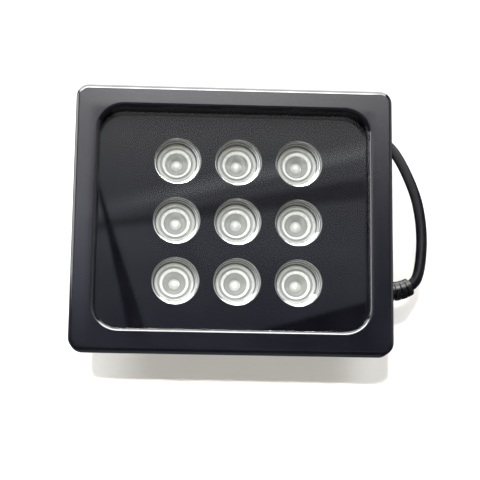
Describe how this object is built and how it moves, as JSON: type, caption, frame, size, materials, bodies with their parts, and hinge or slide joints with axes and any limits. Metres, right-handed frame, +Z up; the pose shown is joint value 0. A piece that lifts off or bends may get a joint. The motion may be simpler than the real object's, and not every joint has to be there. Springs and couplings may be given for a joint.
{
  "type": "infrared illuminator",
  "caption": "Rectangular infrared floodlight head with round lens windows behind flat glass, finned rear housing, tilting wall bracket and power lead.",
  "frame": {"origin": "centre of the bracket's wall face, midway between the two wall screw holes", "axes": "+Y into the wall, -Y the way the light shines, +Z up, +X to the right seen from the front"},
  "size_m": [0.1623, 0.106, 0.1188],
  "materials": {
    "black_gloss_plastic": "gloss moulded",
    "clear_glass": "polished",
    "black_mask": "matt",
    "sponge_rubber": "foam",
    "lens_acrylic": "clear polished",
    "emitter_clear": "clear dome",
    "board_metal": "white coated",
    "board_green": "coated",
    "ferrite": "matt",
    "can_aluminium": "satin",
    "steel": "zinc plated",
    "black_cast_aluminium": "fine black coating",
    "black_coated_steel": "fine black coating",
    "nylon": "natural",
    "cord_rubber": "soft black",
    "tie_fabric": "woven",
    "socket_plastic": "satin moulded",
    "contact_metal": "nickel plated"
  },
  "bodies": {
    "bracket": {"mounting_bracket": "black_coated_steel", "pivot_bolt": "steel", "lock_nut": "steel", "pivot_washers": "steel", "friction_washers": "nylon", "power_cord": "cord_rubber", "cord_coil": "cord_rubber", "cord_tail": "cord_rubber", "cord_tie": "tie_fabric", "dc_socket": "socket_plastic", "socket_contacts": "contact_metal"},
    "head": {"front_bezel": "black_gloss_plastic", "front_glass": "clear_glass", "window_mask": "black_mask", "glass_gasket": "sponge_rubber", "lens_1": "lens_acrylic", "lens_2": "lens_acrylic", "lens_3": "lens_acrylic", "lens_4": "lens_acrylic", "lens_5": "lens_acrylic", "lens_6": "lens_acrylic", "lens_7": "lens_acrylic", "lens_8": "lens_acrylic", "lens_9": "lens_acrylic", "emitter_1": "emitter_clear", "emitter_2": "emitter_clear", "emitter_3": "emitter_clear", "emitter_4": "emitter_clear", "emitter_5": "emitter_clear", "emitter_6": "emitter_clear", "emitter_7": "emitter_clear", "emitter_8": "emitter_clear", "emitter_9": "emitter_clear", "led_board": "board_metal", "driver_board": "board_green", "inductor": "ferrite", "capacitors": "can_aluminium", "driver_chip": "ferrite", "board_screws": "steel", "driver_screws": "steel", "rear_housing": "black_cast_aluminium", "bezel_screws": "steel", "strain_relief": "cord_rubber", "supply_wires": "cord_rubber"}
  },
  "joints": [
    {"name": "head_tilt", "type": "hinge", "parent": "bracket", "child": "head", "pos_m": [0, -0.044, 0], "axis": [1, 0, 0], "range_deg": [-45, 45], "deforming": ["power_cord"]}
  ]
}
